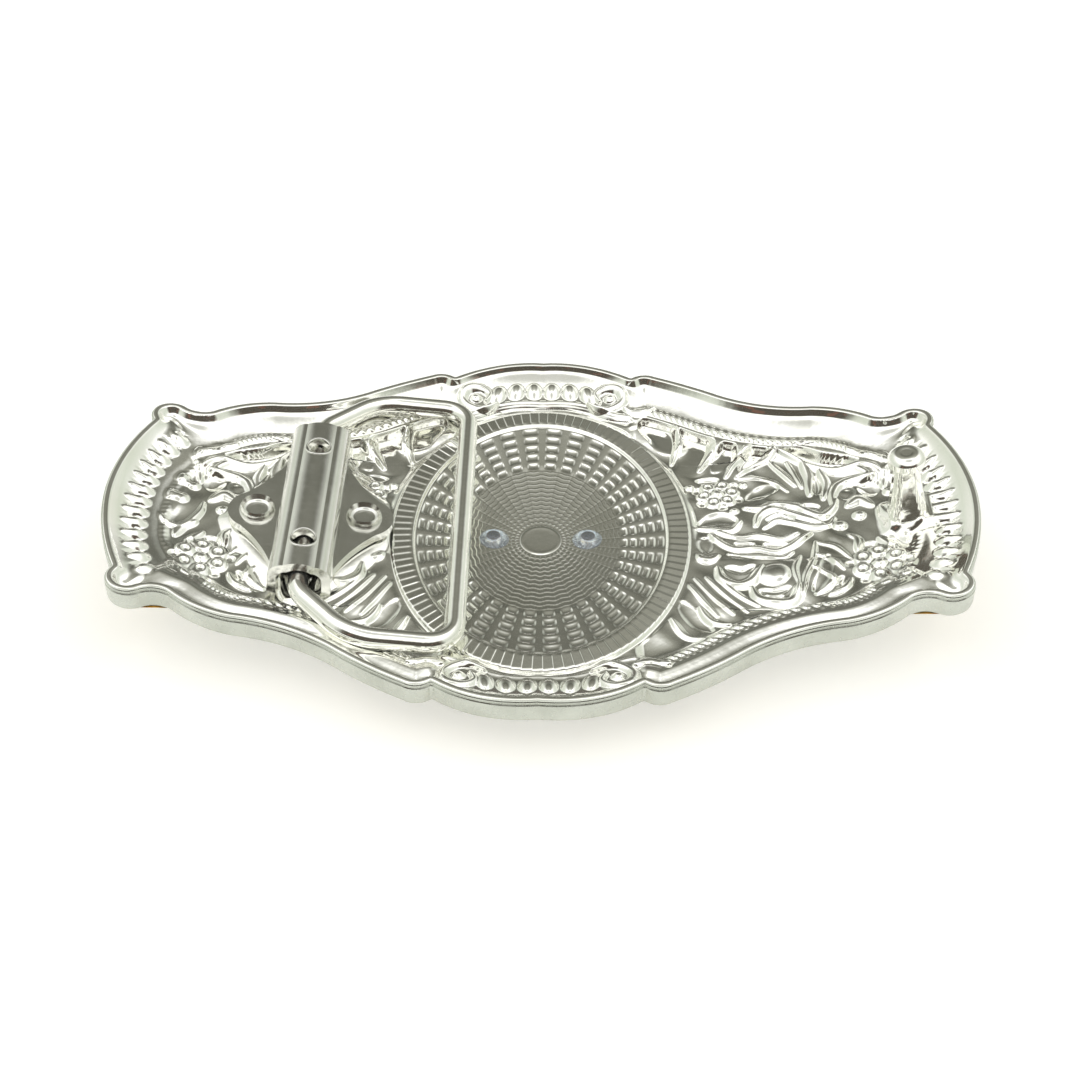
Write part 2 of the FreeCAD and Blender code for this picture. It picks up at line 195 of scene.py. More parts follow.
# ---------------------------------------------------------------------------
# Relief: ridges, pockets and domes, drawn for one end and mirrored to the other
# ---------------------------------------------------------------------------
# Each ridge or pocket: points along it, half width, height or depth. Millimetres.
RIDGES = [
    # rounded leaves beside the medallion
    ([(16.9, 21.3), (17.1, 17.6), (16.3, 13.9)], 0.28, 0.55),
    ([(21.4, 18.8), (21.3, 16.0), (19.7, 12.3)], 0.34, 0.7),
    ([(14.2, 22.6), (16.4, 22.6), (18.9, 21.4), (21.0, 19.2)], 0.3, 0.5),
    # horn
    ([(22.9, 10.8), (24.3, 13.5), (26.2, 15.7), (28.5, 16.6), (29.2, 15.4), (28.2, 13.6), (26.0, 12.4),
      (24.2, 10.6)], 0.33, 0.65),
    # ribbon leaves along the far border
    ([(29.4, 16.2), (32.0, 15.1), (34.3, 13.4), (37.0, 12.5), (40.4, 12.8), (41.6, 11.7)], 0.3, 0.6),
    ([(31.6, 16.4), (34.0, 15.3), (36.4, 14.6), (40.0, 14.6)], 0.24, 0.4),
    ([(29.6, 14.6), (32.2, 12.8), (34.2, 11.0), (36.6, 10.1), (40.0, 10.4), (41.5, 8.8)], 0.42, 0.55),
    # upright petals
    ([(32.4, 12.4), (33.0, 9.5), (32.8, 6.2)], 0.42, 0.55),
    ([(34.3, 10.4), (34.9, 8.0), (34.3, 5.2)], 0.4, 0.55),
    ([(30.6, 12.8), (31.4, 10.5), (32.0, 7.8)], 0.26, 0.4),
    ([(28.3, 13.4), (29.7, 11.0), (31.2, 8.2)], 0.28, 0.45),
    ([(24.6, 10.3), (26.8, 10.4), (28.6, 9.4), (30.2, 7.3)], 0.26, 0.35),
    # arched leaf
    ([(35.3, 4.0), (35.6, 6.5), (37.0, 8.1), (38.9, 8.0), (40.6, 8.3)], 0.44, 0.65),
    ([(37.0, 3.5), (38.5, 4.3), (39.9, 3.1)], 0.5, 0.5),
    # feathered scrolls across the middle
    ([(24.8, 4.4), (26.8, 4.0), (28.8, 5.0), (31.0, 4.3), (32.2, 3.0), (33.8, 2.0), (35.2, 3.3),
      (35.8, 4.8)], 0.45, 0.7),
    ([(25.8, 0.9), (26.4, 2.8), (28.2, 3.9), (30.0, 3.3), (31.8, 1.8), (33.8, 0.6)], 0.38, 0.65),
    ([(26.8, 0.5), (28.4, 1.7), (30.3, 1.0), (32.5, 0.0), (34.5, 0.3), (35.3, 1.6)], 0.34, 0.6),
    ([(20.3, -0.4), (21.5, -2.0), (23.4, -3.2), (25.8, -3.4), (28.0, -3.9), (30.0, -2.9), (32.2, -1.0)],
     0.4, 0.65),
    ([(21.2, 0.0), (23.5, -0.8), (26.0, -0.9), (28.6, -1.7), (30.6, -1.1)], 0.34, 0.6),
    ([(22.2, -4.1), (25.0, -4.8), (28.2, -5.2), (29.8, -4.2)], 0.28, 0.45),
    ([(18.5, 1.0), (20.5, 0.6), (22.8, 0.5), (24.1, 1.8)], 0.34, 0.55),
    ([(18.5, -4.2), (19.6, -5.0), (21.0, -4.3)], 0.5, 0.55),
    # hooked scroll and ball scroll
    ([(20.8, -6.5), (21.2, -8.6), (22.8, -9.8), (24.6, -9.2), (26.0, -6.7)], 0.5, 0.8),
    ([(24.5, -10.4), (25.2, -12.4), (27.2, -13.3), (29.1, -12.7), (29.9, -10.4)], 0.52, 0.75),
    # broad leaf and its veins
    ([(32.6, -2.6), (32.0, -6.0), (30.8, -9.0), (30.2, -12.0)], 0.26, 0.5),
    ([(32.3, -4.6), (34.1, -6.1), (35.3, -8.0)], 0.22, 0.4),
    ([(31.8, -7.2), (33.4, -8.6), (34.4, -10.4)], 0.22, 0.4),
    ([(36.0, -9.6), (35.0, -11.4), (33.2, -12.3)], 0.32, 0.55),
    ([(30.6, -4.9), (29.7, -7.6), (29.9, -10.2)], 0.24, 0.4),
    ([(32.6, -2.6), (34.6, -3.6), (36.4, -6.2)], 0.26, 0.4),
    # leaf tips beside the lower flower
    ([(36.6, -2.1), (37.5, -3.0), (37.2, -5.0)], 0.4, 0.5),
    ([(39.9, -2.9), (40.9, -4.4), (40.4, -5.6)], 0.4, 0.5),
    ([(41.0, -1.2), (42.4, -2.2), (43.0, -4.2)], 0.5, 0.55),
    # leaves fanned beside the ends
    ([(45.6, 7.0), (44.2, 6.4), (42.6, 5.4)], 0.6, 0.55),
    ([(46.2, 3.1), (44.8, 2.8), (43.0, 2.6)], 0.6, 0.55),
    ([(45.6, -0.8), (44.2, -2.2), (42.4, -2.2), (40.9, 0.4), (40.6, 2.4)], 0.38, 0.65),
    ([(42.3, 10.6), (41.9, 8.4), (41.6, 6.2)], 0.35, 0.5),
    ([(37.6, 10.8), (39.4, 9.2), (40.4, 7.6)], 0.3, 0.4),
    # striped fan
    ([(16.9, -8.6), (18.4, -11.7), (20.3, -14.9)], 0.2, 0.4),
    ([(18.0, -8.3), (20.0, -11.9), (22.1, -14.9)], 0.2, 0.4),
    ([(19.3, -8.2), (21.3, -11.4), (23.7, -14.4)], 0.2, 0.4),
    ([(20.6, -8.6), (22.6, -11.2), (25.0, -13.8)], 0.24, 0.45),
    ([(18.3, -13.4), (19.5, -15.6), (21.6, -16.6)], 0.36, 0.65),
    ([(15.0, -15.4), (16.4, -17.8), (18.6, -19.1)], 0.36, 0.6),
]

POCKETS = [
    ([(33.9, 9.4), (33.7, 6.6)], 0.5, 0.4),
    ([(37.3, 6.9), (37.2, 5.2)], 1.0, 0.45),
    ([(39.6, 6.9), (40.2, 5.9)], 1.1, 0.45),
    ([(25.4, 6.6), (27.4, 7.8), (28.8, 8.2)], 0.95, 0.4),
    ([(19.4, 2.1), (21.5, 2.9), (23.4, 2.2)], 0.95, 0.5),
    ([(19.6, -1.2), (19.7, -3.2)], 0.85, 0.45),
    ([(27.3, 2.0), (28.9, 2.7), (30.5, 2.0)], 0.32, 0.5),
    ([(26.6, -2.4), (29.4, -2.8)], 0.34, 0.55),
    ([(23.2, -2.0), (25.4, -2.3)], 0.34, 0.5),
    ([(21.9, -6.6), (23.6, -7.5), (25.0, -6.6)], 0.5, 0.5),
    ([(26.0, -12.0), (27.9, -12.1)], 0.28, 0.5),
    ([(25.5, -10.8), (27.0, -11.3), (28.7, -10.8)], 0.5, 0.5),
    ([(33.7, -5.4), (33.1, -8.4), (31.7, -11.3)], 0.8, 0.4),
    ([(35.0, -9.4), (33.6, -11.2), (31.7, -12.1)], 0.5, 0.6),
    ([(19.4, 10.4), (21.8, 10.6)], 0.55, 0.65),
    ([(16.1, -12.4), (17.6, -15.2), (19.4, -17.2)], 0.9, 0.45),
    ([(31.6, 4.3), (33.6, 3.8)], 0.5, 0.5),
    ([(38.2, -3.9), (39.4, -3.8)], 0.42, 0.6),
]

RIDGE_SPREAD, RIDGE_HEIGHT = 1.75, 0.62     # factors on the listed measures, for a soft casting
POCKET_SPREAD, POCKET_DEPTH = 1.2, 0.75
DOME_HEIGHT = 0.8
SWELL = 0.0095              # height of each wave of the surface over its length
LEVEL_SLOPE = 0.02          # how fast the floors below deepen towards the far side

# Pockets with a smooth floor: points, half width, depth under the rim
LEVELS = [
    ([(13.2, 21.6), (15.1, 19.6), (16.2, 16.6)], 2.0, 3.3),
    ([(18.4, 20.4), (19.9, 17.2), (18.9, 13.6), (17.9, 12.2)], 2.1, 3.35),
    ([(23.6, 16.6), (23.0, 14.4), (21.6, 12.4)], 1.3, 3.3),
    ([(24.9, 12.0), (26.6, 14.3), (28.1, 15.4)], 0.9, 3.55),
    ([(30.4, 15.0), (32.2, 13.9), (34.3, 12.1), (36.8, 11.4), (40.2, 11.7)], 0.85, 3.5),
    ([(32.6, 16.0), (35.2, 14.2), (39.6, 13.8)], 0.5, 2.9),
]

# Each dome: centre, radius, height
DOMES = [
    ((27.2, -8.3), 1.95, 0.8), ((35.7, 0.1), 0.98, 0.7), ((38.2, 1.6), 0.85, 0.55), ((18.3, 9.0), 0.6, 0.5),
    ((24.9, 9.2), 0.5, 0.4), ((43.2, 2.6), 0.9, 0.4), ((23.5, 3.9), 0.55, 0.45), ((42.2, 5.4), 0.8, 0.45),
]

# Each flower: centre, radius to the petals' middles, number of petals, turn in degrees
FLOWERS = [((21.7, 7.4), 1.75, 6, 10.0), ((39.4, -7.5), 2.15, 6, 25.0)]


def stroke(x, y, points, half_width, power):
    """How much of its full height a stroke has at each point: 1 on its middle line, 0 beyond its side."""
    line = smooth_line(points, 6)
    low, high = line.min(0) - half_width, line.max(0) + half_width
    near = np.nonzero((x > low[0]) & (x < high[0]) & (y > low[1]) & (y < high[1]))[0]
    amount = np.zeros(len(x))
    if not len(near):
        return amount
    px, py = x[near][:, None], y[near][:, None]
    a, b = line[:-1], line[1:]
    ab = b - a
    t = np.clip(((px - a[:, 0]) * ab[:, 0] + (py - a[:, 1]) * ab[:, 1]) / (ab**2).sum(1), 0, 1)
    distance = np.hypot(px - a[:, 0] - t * ab[:, 0], py - a[:, 1] - t * ab[:, 1])
    place = (np.arange(len(a)) + t) / len(a)
    taper = 1 - 0.6 * np.abs(2 * place - 1) ** 3
    r = (distance / (half_width * taper)).min(1)
    amount[near] = np.clip(1 - r**power, 0, 1)
    return amount


def dome(x, y, centre, radius):
    r2 = ((x - centre[0]) ** 2 + (y - centre[1]) ** 2) / radius**2
    return np.sqrt(np.clip(1 - r2, 0, 1))


def swell(x, y):
    """The casting's own gentle unevenness, a sum of waves in random directions."""
    rng = np.random.default_rng(11)
    height = np.zeros(len(x))
    for length in (2.6, 3.1, 3.7, 4.4, 5.3, 6.4, 7.9):
        heading, phase = rng.uniform(0, 2 * math.pi, 2)
        k = 2 * math.pi / length
        height += SWELL * length * np.sin(k * (x * math.cos(heading) + y * math.sin(heading)) + phase)
    return height


def panel_relief(x, y):
    """Raised and sunken heights of the ornament at each point, mirrored about the middle of the plate."""
    x = np.abs(x)
    raised = np.zeros(len(x))
    sunk = np.zeros(len(x))
    for points, half_width, height in RIDGES:
        wide = stroke(x, y, points, half_width * RIDGE_SPREAD, 2)
        raised = np.maximum(raised, RIDGE_HEIGHT * height * wide**1.25)
    for points, half_width, depth in POCKETS:
        low = stroke(x, y, points, half_width * POCKET_SPREAD, 2)
        sunk = np.maximum(sunk, POCKET_DEPTH * depth * low)
    for centre, radius, height in DOMES:
        raised = np.maximum(raised, DOME_HEIGHT * height * dome(x, y, centre, radius) ** 1.5)
    for (cx, cy), reach, petals, turn in FLOWERS:
        raised = np.maximum(raised, 0.45 * dome(x, y, (cx, cy), 0.9) ** 1.5)
        size = reach * math.sin(math.pi / petals) * 1.12
        for i in range(petals):
            a = math.radians(turn) + 2 * math.pi * i / petals
            middle = (cx + reach * math.cos(a), cy + reach * math.sin(a))
            raised = np.maximum(raised, 0.42 * dome(x, y, middle, size) ** 1.3)
            sunk = np.maximum(sunk, 0.42 * dome(x, y, middle, 0.5))
            a += math.pi / petals
            gap = (cx + 1.5 * reach * math.cos(a), cy + 1.5 * reach * math.sin(a))
            sunk = np.maximum(sunk, 0.3 * dome(x, y, gap, 0.6))
    return raised, sunk


# ---------------------------------------------------------------------------
# Border: depth under the rim's back face against distance from the outline
# ---------------------------------------------------------------------------
FAR_PROFILE = smooth_line([
    (0.9, 0.06), (1.15, 0.5), (1.45, 0.9), (2.1, 1.3), (3.2, 1.74), (4.2, 2.06), (4.7, 2.05), (5.3, 1.95),
    (5.9, 2.1), (6.6, 2.15), (8.0, 2.5), (9.5, 2.95), (11.0, 3.25), (13.0, 3.35), (18.0, 3.35),
])
NEAR_PROFILE = smooth_line([
    (0.9, 0.06), (1.1, 0.5), (1.4, 1.1), (1.8, 1.45), (2.2, 1.5), (2.9, 1.34), (3.4, 1.24), (3.7, 1.28),
    (4.6, 1.56), (5.3, 1.8), (5.9, 2.02), (6.3, 2.4), (6.8, 2.85), (7.4, 3.05), (8.6, 3.1), (12.0, 2.95),
    (18.0, 2.95),
])
END_PROFILE = smooth_line([
    (0.9, 0.06), (1.25, 0.4), (1.8, 0.85), (2.6, 1.3), (3.4, 1.65), (4.4, 1.95), (5.4, 2.2), (6.2, 2.45),
    (6.8, 2.55), (7.6, 2.8), (9.0, 3.05), (13.0, 3.2), (16.0, 3.25),
])
MIDDLE_PROFILE = smooth_line([
    (0.9, 0.06), (1.1, 0.45), (1.4, 0.8), (2.0, 1.15), (2.9, 1.5), (4.0, 1.75), (5.4, 1.85), (6.1, 1.75),
    (6.5, 2.1), (6.9, 2.5), (7.6, 2.6), (16.0, 2.7),
])
FRONT_PROFILE = smooth_line([
    (0.7, 3.12), (1.6, 3.25), (2.4, 3.35), (2.8, 3.3), (3.4, 3.7), (4.4, 4.2), (5.4, 4.5), (6.5, 4.65),
    (16.0, 4.7),
])
ROPE_U, ROPE_SHIFT = 5.25, 1.5      # how far in the rope runs, and how much further at the ends
BEAD_U, BEAD_HALF = 4.3, 1.08       # the middle lobes' beads: how far in, and half their width
FRONT_ROPE_U, FRONT_ROPE_PITCH = 1.6, 1.9
FLUTE_PITCH = 2.02


def depth_at(profile, u):
    return np.interp(u, profile[:, 0], profile[:, 1])


def outline():
    """The outline at equal steps from its end tip, its inward normals and its length."""
    quarter = [OUTLINE_START]
    start = OUTLINE_START
    for middle, stop in OUTLINE_ARCS:
        quarter.extend(arc_points(start, middle, stop, 60)[1:])
        quarter.append(stop)
        start = stop
    q = np.array(quarter)[::-1]
    left = q[::-1][1:] * [-1, 1]
    low = q[1:] * [-1, -1]
    right = q[::-1][1:-1] * [1, -1]
    points, length = evenly(np.vstack([q, left, low, right]), AROUND)
    ahead = np.roll(points, -3, 0) - np.roll(points, 3, 0)
    ahead = sum(np.roll(ahead, k, 0) for k in range(-2, 3))
    ahead /= np.hypot(*ahead.T)[:, None]
    return points, np.column_stack([-ahead[:, 1], ahead[:, 0]]), length


def nearest_on_outline(points, line, step, used):
    """Distance from a grid's points to the used parts of the outline, and the nearest place along it."""
    best = np.full(points.shape[:2], 1e3)
    along = np.zeros(points.shape[:2])
    index = np.arange(AROUND)
    for k in range(-WINDOW, WINDOW + 1):
        a = np.roll(line, -k, 0)
        ab = np.roll(line, -k - 1, 0) - a
        dx, dy = points[..., 0] - a[:, 0], points[..., 1] - a[:, 1]
        t = np.clip((dx * ab[:, 0] + dy * ab[:, 1]) / (ab**2).sum(1), 0, 1)
        d = np.hypot(dx - t * ab[:, 0], dy - t * ab[:, 1])
        closer = (d < best) & np.roll(used, -k)
        best = np.where(closer, d, best)
        along = np.where(closer, (index + k + t) * step, along)
    return best, along


def outline_distance(points, line, step):
    """Distance from the outline with its inner corners rounded, the place along it and the ends' share."""
    ends = (np.abs(line[:, 1]) < 14.5) & (np.abs(line[:, 0]) > 47.0)
    u_end, s_end = nearest_on_outline(points, line, step, ends)
    u_side, s_side = nearest_on_outline(points, line, step, ~ends)
    u = np.minimum(u_end, u_side)
    overlap = np.clip(1 - np.abs(u_end - u_side) / CORNER, 0, 1)
    u = u - overlap**2 * CORNER / 4 * smoothstep(1.2, 3.5, u)
    return u, np.where(u_end < u_side, s_end, s_side), smoothstep(-1.2, 1.2, u_side - u_end)


def border_relief(x, y, u, s, end):
    """How much each point belongs to the middle lobes and the long sides, and the raised rope and beads."""
    middle = smoothstep(12.0, 10.6, np.abs(x))
    side = (1 - end) * (1 - middle)
    rope_u = ROPE_U + ROPE_SHIFT * end
    across = np.clip(1 - ((u - rope_u) / 0.55) ** 2, 0, 1)
    twist = 0.5 + 0.5 * np.cos(2 * math.pi * (s / ROPE_PITCH + (u - rope_u) * 0.5))
    rope = (1 - middle) * (1 - 0.85 * end) * across * (0.06 + 0.27 * twist)
    scallop = np.clip(1 - ((u - rope_u + 0.85) / 0.3) ** 2, 0, 1) * (0.2 + 0.8 * twist)
    rope = np.maximum(rope, 0.12 * (1 - middle) * (1 - end) * scallop)
    across_bead = (np.abs(x) / BEAD_PITCH) % 1 - 0.5
    bead = np.clip(1 - (across_bead * BEAD_PITCH / BEAD_HALF) ** 2 - ((u - BEAD_U) / 1.5) ** 2, 0, 1)
    beads = middle * smoothstep(7.4, 6.9, np.abs(x)) * 0.55 * bead**0.75
    return middle, side, rope + beads


def flutes(x, y):
    """Pointed drops across both ends, fanned about the middle of the plate's width."""
    x, height, cut = np.abs(x), np.zeros(len(x)), np.zeros(len(x))
    for i in range(-6, 7):
        middle_y = FLUTE_PITCH * i
        reach = 47.4 - 0.0125 * middle_y**2 - 0.00004 * middle_y**4
        turn = 0.055 * middle_y
        along = (x - reach) * math.cos(turn) + (y - middle_y) * math.sin(turn)
        across = (y - middle_y) * math.cos(turn) - (x - reach) * math.sin(turn)
        half = 0.96 * (1 - 0.62 * np.clip(along / 2.0, 0, 1))
        reached = np.where(along > 0, along / 2.0, -along / 1.15)
        drop = np.clip(1 - (across / half) ** 2 - reached**1.7, 0, 1)
        height = np.maximum(height, 0.6 * drop**0.9)
        beside = np.abs(across - 1.01) / (0.34 * (1 - 0.8 * np.clip(along / 2.3, 0, 1)))
        gap = np.clip(1 - beside**2 - np.abs((along - 0.7) / 1.7) ** 2, 0, 1)
        cut = np.maximum(cut, 0.34 * gap)
    return height - cut


def volutes(x, y):
    """The small curls at each end of the middle lobes."""
    x, y = np.abs(x), np.abs(y)
    curl = [
        (5.9, 24.9), (7.2, 23.9), (9.0, 24.0), (10.4, 25.4), (9.9, 27.1), (8.2, 27.6), (6.9, 26.6),
        (7.4, 25.3),
    ]
    height = 0.5 * stroke(x, y, curl, 0.72, 2)
    height = np.maximum(height, 0.5 * dome(x, y, (8.7, 25.8), 0.75) ** 1.4)
    tail = [(10.6, 23.9), (12.4, 23.2), (14.4, 24.2)]
    return np.maximum(height, 0.42 * stroke(x, y, tail, 0.8, 2))


# ---------------------------------------------------------------------------
# Medallion: a reeded ring round a dish of basket weave
# ---------------------------------------------------------------------------
COLUMNS = 36                # of the weave, round the dish
DISC_A, DISC_B = 2.5, 2.7   # half widths of the plain disc in the middle
FINE_ROWS, BROAD_ROWS = 13, 5
BROAD_FROM = 0.56           # share of the way out where the weave turns broad
TICKS, REED = 110, 0.085    # the ring's reeds and their height
FRONT_WAVES, FRONT_WAVE_HEIGHT = 9, 0.1


def weave_height(p, turn):
    """Height of the weave above the dish; p is 0 at the disc and 1 at the ring, turn is 0 to 1 round it."""
    a = 2 * ((turn * COLUMNS) % 1) - 1
    wave = 0.12 * np.cos(math.pi * a)
    fine_row = p / BROAD_FROM * FINE_ROWS + wave
    broad_row = (p - BROAD_FROM) / (1 - BROAD_FROM) * BROAD_ROWS
    row = np.where(p < BROAD_FROM, fine_row, broad_row)
    b = 2 * (row % 1) - 1
    broad = smoothstep(BROAD_FROM - 0.01, BROAD_FROM + 0.06, p)
    pocket = np.clip(1 - np.abs(a / 0.72) ** 2.6, 0, 1) * np.clip(1 - np.abs(b / 0.78) ** 2.2, 0, 1)
    rib = 0.03 * np.clip(np.cos(math.pi * (a - 1)), 0, 1)
    ledge = 0.022 * smoothstep(0.3, 0.8, b) * smoothstep(1.0, 0.86, b) + 0.012 * b
    joint = 0.012 * smoothstep(0.8, 0.98, np.abs(a))
    woven = broad * (0.03 + rib - 0.115 * pocket) + (1 - broad) * (ledge - joint)
    return woven * smoothstep(0.0, 0.02, p) * smoothstep(1.0, 0.985, p)


def ellipse(a, b, angle):
    return np.column_stack([a * np.cos(angle), b * np.sin(angle)])


def stack(flat, z):
    return np.dstack([flat[..., 0], flat[..., 1], z])


def bowl(flat):
    """Height of the dish without its weave."""
    return DISH_LOW + (DISH_EDGE - DISH_LOW) * ((flat[..., 0] / DISH_A) ** 2 + (flat[..., 1] / DISH_B) ** 2)


def dish_rings(angle, turn, rows):
    """The plain disc, then rings which change from round to the dish's oval."""
    shares = np.linspace(0.02, 0.97, 8)
    disc = np.array([q * ellipse(DISC_A, DISC_B, angle) for q in shares])
    p = np.linspace(0, 1, rows)[:, None]
    a, b = DISC_A + (DISH_A - DISC_A) * p, DISC_B + (DISH_B - DISC_B) * p
    flat = np.dstack([a * np.cos(angle), b * np.sin(angle)])
    woven = stack(flat, bowl(flat) + weave_height(p + 0 * turn, turn[None] + 0 * p))
    lip = 0.06 * smoothstep(0.8, 0.9, shares)[:, None]
    return np.concatenate([stack(disc, bowl(disc) + lip), woven])


def ring_rings(angle, turn, rows):
    """The reeded ring, from the dish's edge out to the panel."""
    t = np.linspace(0, 1, rows)[1:, None]
    inner, outer = ellipse(DISH_A, DISH_B, angle), ellipse(RING_A, RING_B, angle)
    flat = inner[None] * (1 - t[..., None]) + outer[None] * t[..., None]
    raised = smoothstep(0, 0.1, t) * smoothstep(1.0, 0.86, t)
    foot = DISH_EDGE * (1 - t) + (rim_z(flat[..., 0]) - RING_FOOT) * t
    tooth = (TICKS * turn)[None] % 1
    reeds = REED * tooth * smoothstep(1.0, 0.8, tooth) * smoothstep(0.1, 0.25, t) * smoothstep(0.97, 0.8, t)
    z = foot + (RING_Z - 0.08 - foot) * raised + reeds
    return stack(flat, z)


def ellipse_turn(angle, a, b):
    """Distance round an ellipse at each of its angles, from 0 to 1."""
    dense = np.linspace(0, 2 * math.pi, 4001)
    steps = np.hypot(a * np.sin(dense), b * np.cos(dense))
    total = np.concatenate([[0], np.cumsum((steps[1:] + steps[:-1]) / 2)])
    return np.interp(angle % (2 * math.pi), dense, total / total[-1])


def crown(x, u):
    """The rim stands a little higher over the middle lobes."""
    return CROWN * np.exp(-((x / 9.0) ** 2)) * smoothstep(7.5, 2.0, u)


def add_seat(x, y, z):
    """The raised seat under the bracket's ears, the rivets' pads and the fillet round the hook's foot."""
    under = EAR_UNDER_Z - EAR_SLOPE * (x - EAR_X)
    reach = (np.abs(x - EAR_X) / SEAT_HALF[0]) ** 1.3 + (np.abs(y) / SEAT_HALF[1]) ** 1.3
    z = np.maximum(z, under - 0.15 - 1.3 * smoothstep(0.8, 1.6, reach))
    past_x = np.clip(np.abs(x - HOOK_X) - HOOK_FOOT[0], 0, None)
    past_y = np.clip(np.abs(y) - HOOK_FOOT[1], 0, None)
    z = z + HOOK_FILLET * np.clip(1 - np.hypot(past_x, past_y) / FILLET_REACH, 0, 1) ** 2
    for rivet_x in RIVET_X:
        away = np.hypot(x - rivet_x, y)
        z = np.maximum(z, under - 2.5 * smoothstep(BOSS_RADIUS - 0.1, BOSS_RADIUS + 0.5, away))
    return z


def keep_clear(rings, objects, gap=0.08, margin=0.12):
    """Lower the surface wherever a piece lies on it, so that the two never meet."""
    flat = rings.reshape(-1, 3)
    for obj in objects:
        points = np.array([v.co[:] for v in obj.data.vertices]) / MM
        low, high = points.min(0) - 0.3, points.max(0) + 0.3
        tree = BVHTree.FromObject(obj, bpy.context.evaluated_depsgraph_get())
        inside = ((flat[:, :2] > low[:2]) & (flat[:, :2] < high[:2])).all(1)
        for i in np.nonzero(inside)[0]:
            for dx, dy in ((-margin, -margin), (margin, -margin), (-margin, margin), (margin, margin)):
                start = Vector((flat[i, 0] + dx, flat[i, 1] + dy, 0)) * MM
                hit = tree.ray_cast(start, Vector((0, 0, 1)))[0]
                if hit is not None:
                    flat[i, 2] = min(flat[i, 2], hit.z / MM - gap)
    return flat.reshape(rings.shape)


def panel_rings(edge, angle, line, step, rows, front=False):
    """From the medallion's edge out to the rim, on the back or on the front of the plate."""
    t = np.linspace(0, 1, rows + 1)[1:, None, None] ** 0.92
    flat = ellipse(RING_A, RING_B, angle)[None] * (1 - t) + edge[None] * t
    u, s, end = outline_distance(flat, line, step)
    x, y = flat[..., 0], flat[..., 1]
    middle, side, border = border_relief(x, y, u, s, end)
    raised, sunk = panel_relief(x.ravel(), y.ravel())
    raised, sunk = raised.reshape(x.shape), sunk.reshape(x.shape)
    inside = smoothstep(5.8, 7.0, u) * smoothstep(46.2, 45.0, np.abs(x))
    near_ring = smoothstep(0, 0.03, t[..., 0] + 0 * x)
    waves = swell(np.abs(x).ravel(), y.ravel()).reshape(x.shape) * smoothstep(6.0, 8.0, u)
    curls = volutes(x.ravel(), y.ravel()).reshape(x.shape)
    if front:
        depth = depth_at(FRONT_PROFILE, u)
        relief = np.maximum(0.9 * raised, 0.8 * sunk) * inside
        twist = 0.5 + 0.5 * np.cos(2 * math.pi * (s / FRONT_ROPE_PITCH + (u - FRONT_ROPE_U) * 0.45))
        rope = np.clip(1 - ((u - FRONT_ROPE_U) / 0.8) ** 2, 0, 1) ** 0.7 * (0.3 + 0.5 * twist)
        z = rim_z(x) + crown(x, u) - depth - (relief + rope + 0.6 * curls) * near_ring
        return stack(flat, z)[::-1]
    far = smoothstep(-3.0, 5.0, y)
    long_side = depth_at(FAR_PROFILE, u) * far + depth_at(NEAR_PROFILE, u) * (1 - far)
    depth = long_side * side + depth_at(END_PROFILE, u) * end + depth_at(MIDDLE_PROFILE, u) * middle
    smooth = np.zeros(x.shape)
    for points, half_width, level in LEVELS:
        bottom = level + LEVEL_SLOPE * np.clip(y - points[len(points) // 2][1], -3, 3)
        share = stroke(np.abs(x).ravel(), y.ravel(), points, half_width, 5).reshape(x.shape)
        depth = depth + (np.maximum(bottom, depth) - depth) * share * smoothstep(6.1, 6.7, u)
        smooth = np.maximum(smooth, share)
    gadroons = flutes(x.ravel(), y.ravel()).reshape(x.shape) * end * smoothstep(1.6, 2.6, u)
    fluted = np.where(gadroons < 0, border + gadroons, np.maximum(border, gadroons))
    relief = (raised - 0.8 * sunk + waves * (1 - smooth)) * inside + fluted
    relief = np.where(curls > 0, np.maximum(relief, curls), relief)
    z = rim_z(x) + crown(x, u) - depth + relief * near_ring
    z = (rim_z(x) - RING_FOOT) * (1 - near_ring) + z * near_ring
    z = add_seat(x, y, z)
    return keep_clear(stack(flat, z), [frame["nodes"][name] for name in ("bail", "hinge_bracket")])


# The rim's section: distance inward from the outline, depth under its back face
RIM_SECTION = smooth_line([
    (0.9, 0.06), (0.72, 0.0), (0.42, 0.0), (0.14, 0.12), (0.04, 0.34), (0.12, 0.5), (0.1, 0.62),
    (0.0, 0.74), (0.0, 1.3), (0.0, 2.0), (0.03, 2.6), (0.2, 2.95), (0.7, 3.12),
], 2)


def rim_rings(line, inward):
    rings = []
    for u, depth in RIM_SECTION[1:-1]:
        flat = line + inward * u
        rings.append(np.column_stack([flat, rim_z(flat[:, 0]) + crown(flat[:, 0], u) - depth]))
    return np.array(rings)


def front_medallion(angle, rows):
    q = np.linspace(1, 0.004, rows)[1:, None]
    flat = q[..., None] * ellipse(RING_A, RING_B, angle)[None]
    z = FRONT_LOW + (FRONT_EDGE - FRONT_LOW) * q**2 + 0 * flat[..., 0]
    waves = FRONT_WAVE_HEIGHT * np.cos(2 * math.pi * FRONT_WAVES * q)
    return stack(flat, z + waves * smoothstep(0.5, 0.6, q) * smoothstep(1.0, 0.95, q))


